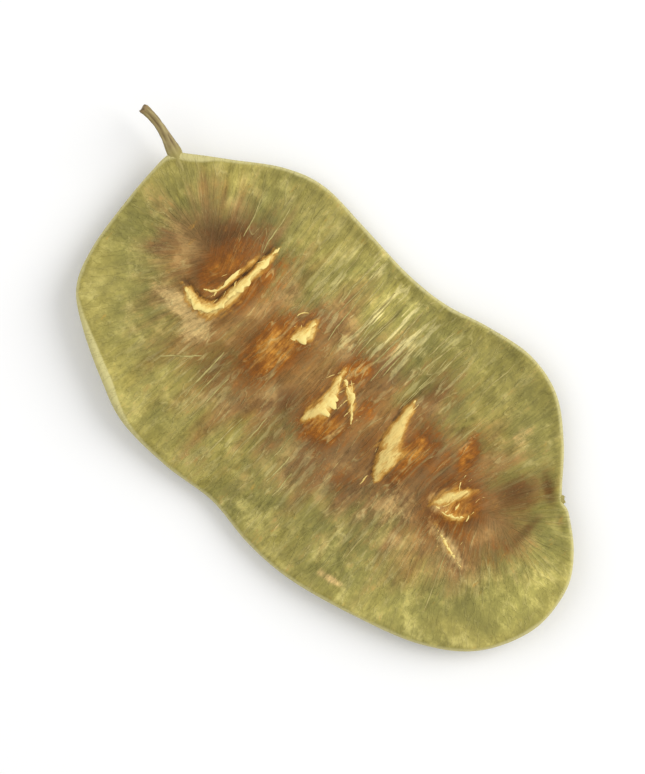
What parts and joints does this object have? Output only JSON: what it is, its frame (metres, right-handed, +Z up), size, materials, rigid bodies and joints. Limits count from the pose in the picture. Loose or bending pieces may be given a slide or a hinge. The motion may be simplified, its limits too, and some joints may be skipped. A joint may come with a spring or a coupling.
{
  "type": "senna pod",
  "caption": "Dried flat kidney-shaped seed pod with a corded rim, raised seed swellings, torn crests and a short stalk, lying on its side.",
  "frame": {"origin": "under the middle of the pod's bounding box, on the surface it lies on", "axes": "+X from the stalk end to the far end, +Y towards the hollow edge, +Z up from the resting face"},
  "size_m": [0.0456, 0.0236, 0.0037],
  "materials": {
    "pod_skin": "dry, papery, fibrous skin with a dull sheen"
  },
  "bodies": {
    "root": {"senna_pod": "pod_skin"}
  },
  "joints": []
}
